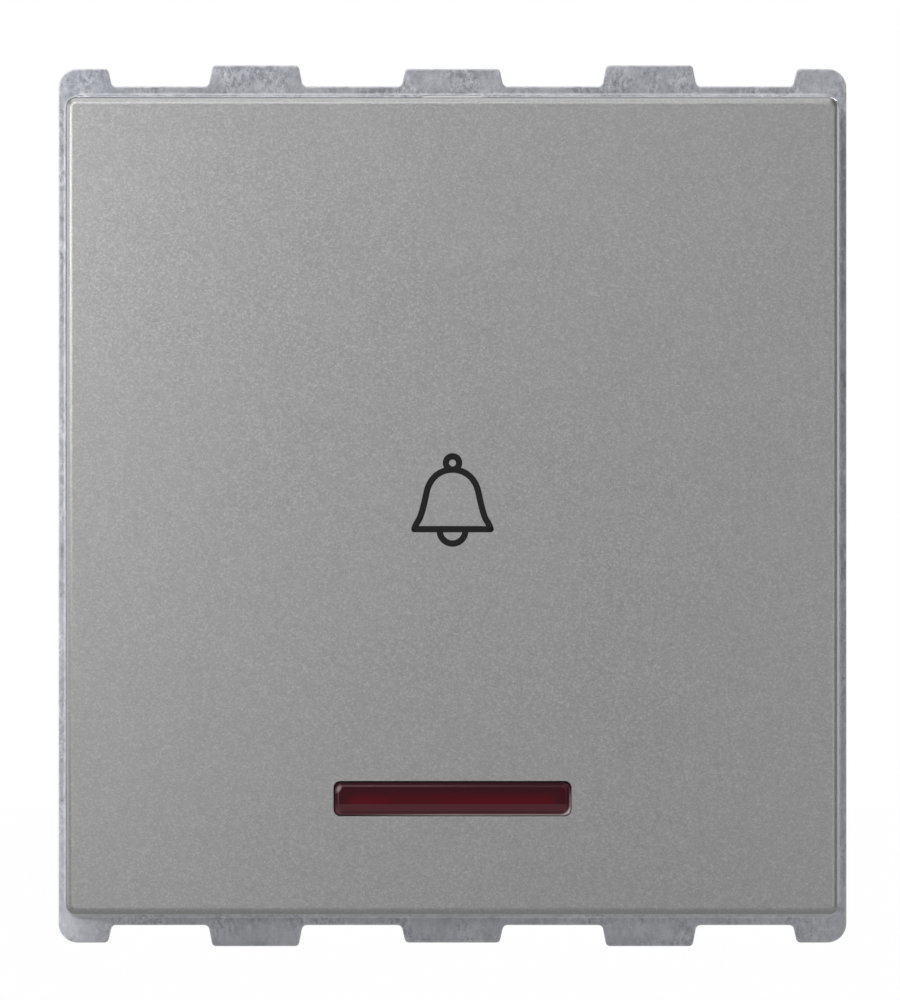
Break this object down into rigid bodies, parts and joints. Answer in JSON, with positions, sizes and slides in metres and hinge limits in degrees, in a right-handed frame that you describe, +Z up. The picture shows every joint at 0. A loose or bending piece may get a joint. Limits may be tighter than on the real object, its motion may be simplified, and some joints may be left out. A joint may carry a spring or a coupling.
{
  "type": "doorbell push button",
  "caption": "Two-module bell push: square silver key with a bell sign and red indicator lens in a die-cast frame with notched edges, on a rear housing with screw terminals.",
  "frame": {"origin": "centre of the rear seating plane of the mounting frame's flange, where the module meets the grid plate", "axes": "+X to the right and +Z up as seen from the front, +Y into the wall; the key faces -Y"},
  "size_m": [0.045, 0.033, 0.0502],
  "materials": {
    "cast_zinc": "as cast, fine pits and light worn edges",
    "silver_paint": "satin silver paint with fine metallic speckle",
    "red_lens": "clear dark red moulding",
    "housing_grey": "moulded, fine matt texture",
    "cover_black": "moulded, fine matt texture",
    "natural_white": "moulded, slightly waxy",
    "spring_steel": "bright drawn wire",
    "contact_brass": "stamped",
    "contact_silver": "turned silver tips",
    "plated_steel": "zinc plated",
    "board_laminate": "circuit board laminate",
    "lamp_red": "clear tinted resin",
    "resistor_beige": "lacquered",
    "diode_black": "moulded resin"
  },
  "bodies": {
    "base": {"mounting_frame": "cast_zinc", "frame_screws": "plated_steel", "mechanism_cover": "cover_black", "rear_housing": "housing_grey", "return_spring": "spring_steel", "line_contact_tip": "contact_silver", "bell_contact_tip": "contact_silver", "line_busbar": "contact_brass", "bell_busbar": "contact_brass", "line_terminal": "contact_brass", "bell_terminal": "contact_brass", "indicator_board": "board_laminate", "indicator_led": "lamp_red", "series_resistor": "resistor_beige", "rectifier_diode": "diode_black", "line_board_pin": "contact_brass", "bell_board_pin": "contact_brass"},
    "key": {"push_key": "silver_paint", "indicator_lens": "red_lens"},
    "plunger_group": {"plunger": "natural_white", "contact_spring": "spring_steel", "retaining_washer": "spring_steel", "contact_bridge": "contact_brass", "bridge_tips": "contact_silver"},
    "line_screw": {"line_terminal_screw": "plated_steel"},
    "bell_screw": {"bell_terminal_screw": "plated_steel"}
  },
  "joints": [
    {"name": "key_press", "type": "hinge", "parent": "base", "child": "key", "pos_m": [0, -0.0036, 0.0155], "axis": [1, 0, 0], "range_deg": [0, 3.5], "stiffness_Nm_per_rad": 0.61, "springref_deg": -5.33},
    {"name": "plunger_slide", "type": "slide", "parent": "base", "child": "plunger_group", "axis": [0, 1, 0], "range_m": [0, 0.00117], "deforming": ["return_spring"]},
    {"name": "line_screw_travel", "type": "slide", "parent": "base", "child": "line_screw", "axis": [0, -1, 0], "range_m": [0, 0.0026]},
    {"name": "bell_screw_travel", "type": "slide", "parent": "base", "child": "bell_screw", "axis": [0, -1, 0], "range_m": [0, 0.0026]}
  ],
  "couplings": [
    {"joint": "plunger_slide", "follows": "key_press", "m_per_rad": 0.019}
  ]
}
